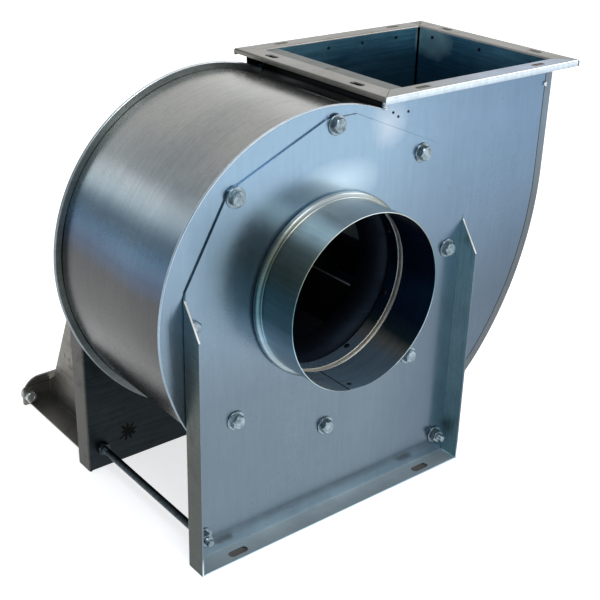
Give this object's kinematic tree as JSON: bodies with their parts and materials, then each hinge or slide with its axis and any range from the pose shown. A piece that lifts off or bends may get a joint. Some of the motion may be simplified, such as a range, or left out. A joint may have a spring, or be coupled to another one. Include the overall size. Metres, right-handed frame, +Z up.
{
  "type": "exhaust fan",
  "caption": "Galvanised centrifugal exhaust fan: scroll casing between two supports, round inlet spigot, flanged outlet on top, backward-curved impeller and flange motor behind.",
  "frame": {"origin": "on the impeller's axis, where the inlet tube's plain length ends at its bead, 8 mm in front of the front support", "axes": "+Y along the impeller's axis from the inlet to the motor, +Z up and out of the outlet, +X to the right of someone who looks into the inlet"},
  "size_m": [0.5133, 0.4445, 0.443],
  "materials": {
    "galvanised_steel": "satin",
    "zinc_plated": "satin",
    "rivet_aluminium": "satin",
    "motor_paint": "satin",
    "cowl_paint": "satin",
    "black_plastic": "matte",
    "machined_steel": "polished",
    "laminated_steel": "matte"
  },
  "bodies": {
    "casing": {"brace_bolts": "zinc_plated", "brace_nuts": "zinc_plated", "cable_gland": "black_plastic", "casing_bolts": "zinc_plated", "casing_nuts": "zinc_plated", "casing_rivets": "rivet_aluminium", "casing_washers": "zinc_plated", "cutoff_plate": "galvanised_steel", "front_bearing_outer": "machined_steel", "front_side_plate": "galvanised_steel", "front_support": "galvanised_steel", "inlet_cone": "galvanised_steel", "inlet_spigot": "galvanised_steel", "left_brace": "galvanised_steel", "left_tie_rod": "zinc_plated", "motor_fan_cowl": "cowl_paint", "motor_flange_bolts": "zinc_plated", "motor_flange_nuts": "zinc_plated", "motor_flange_shield": "motor_paint", "motor_housing": "motor_paint", "motor_rear_shield": "motor_paint", "outlet_flange_front": "galvanised_steel", "outlet_flange_left": "galvanised_steel", "outlet_flange_rear": "galvanised_steel", "outlet_flange_right": "galvanised_steel", "rear_bearing_outer": "machined_steel", "rear_cross_bar": "galvanised_steel", "rear_side_plate": "galvanised_steel", "rear_support": "galvanised_steel", "right_brace": "galvanised_steel", "right_tie_rod": "zinc_plated", "scroll_wrap": "galvanised_steel", "spigot_rivets": "rivet_aluminium", "stator_core": "laminated_steel", "terminal_box": "cowl_paint", "terminal_box_lid": "cowl_paint", "tie_rod_nuts": "zinc_plated", "tie_rod_washers": "zinc_plated"},
    "impeller": {"back_disc": "galvanised_steel", "cooling_fan": "black_plastic", "front_bearing_inner": "machined_steel", "hub_rivets": "rivet_aluminium", "impeller_blade_01": "galvanised_steel", "impeller_blade_02": "galvanised_steel", "impeller_blade_03": "galvanised_steel", "impeller_blade_04": "galvanised_steel", "impeller_blade_05": "galvanised_steel", "impeller_blade_06": "galvanised_steel", "impeller_blade_07": "galvanised_steel", "impeller_blade_08": "galvanised_steel", "impeller_blade_09": "galvanised_steel", "impeller_blade_10": "galvanised_steel", "impeller_hub": "galvanised_steel", "motor_shaft": "machined_steel", "rear_bearing_inner": "machined_steel", "retaining_bolt": "zinc_plated", "rotor_core": "laminated_steel", "shaft_key": "machined_steel", "shroud_ring": "galvanised_steel"}
  },
  "joints": [
    {"name": "impeller_spin", "type": "hinge", "parent": "casing", "child": "impeller", "pos_m": [0, 0, 0], "axis": [0, -1, 0], "continuous": true}
  ]
}
